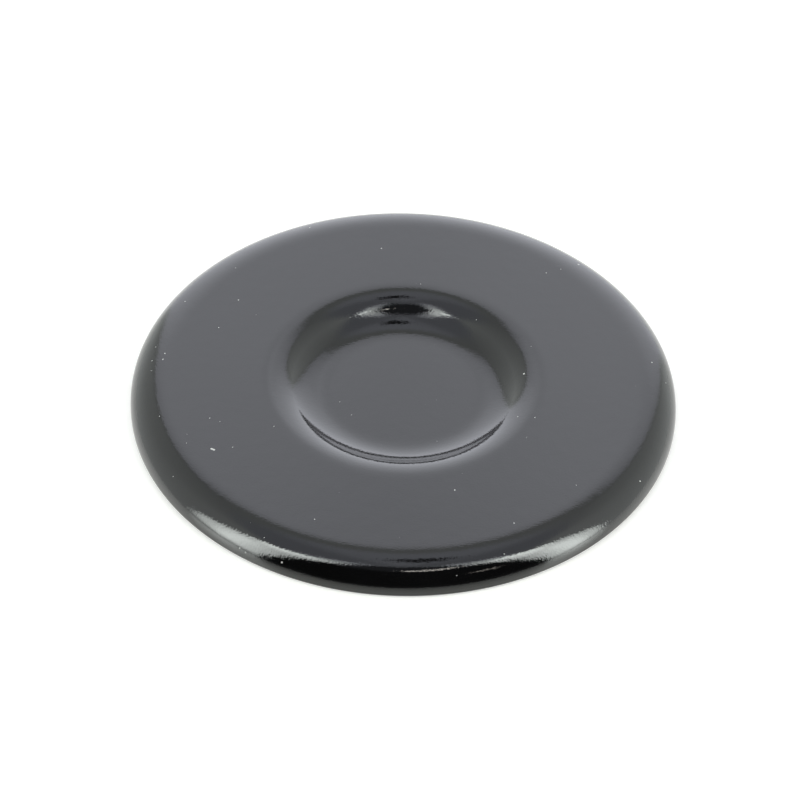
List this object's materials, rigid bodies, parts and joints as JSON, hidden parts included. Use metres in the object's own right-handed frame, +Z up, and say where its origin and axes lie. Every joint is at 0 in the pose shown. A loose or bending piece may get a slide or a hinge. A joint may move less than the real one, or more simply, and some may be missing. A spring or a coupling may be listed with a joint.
{
  "type": "gas burner cap",
  "caption": "Round black enamelled cap that covers a gas burner head, with a soft turned-down rim, a flat ring and a shallow dish in the middle.",
  "frame": {"origin": "on the axis of the cap, on the surface that it stands on, which is the underside of the dish's floor", "axes": "+Z up along the axis, out of the top face; the cap is the same all round, so +X and +Y are free"},
  "size_m": [0.075, 0.075, 0.0038],
  "materials": {
    "black_enamel": "glossy black vitreous enamel, fired on steel"
  },
  "bodies": {
    "root": {"burner_cap": "black_enamel"}
  },
  "joints": []
}
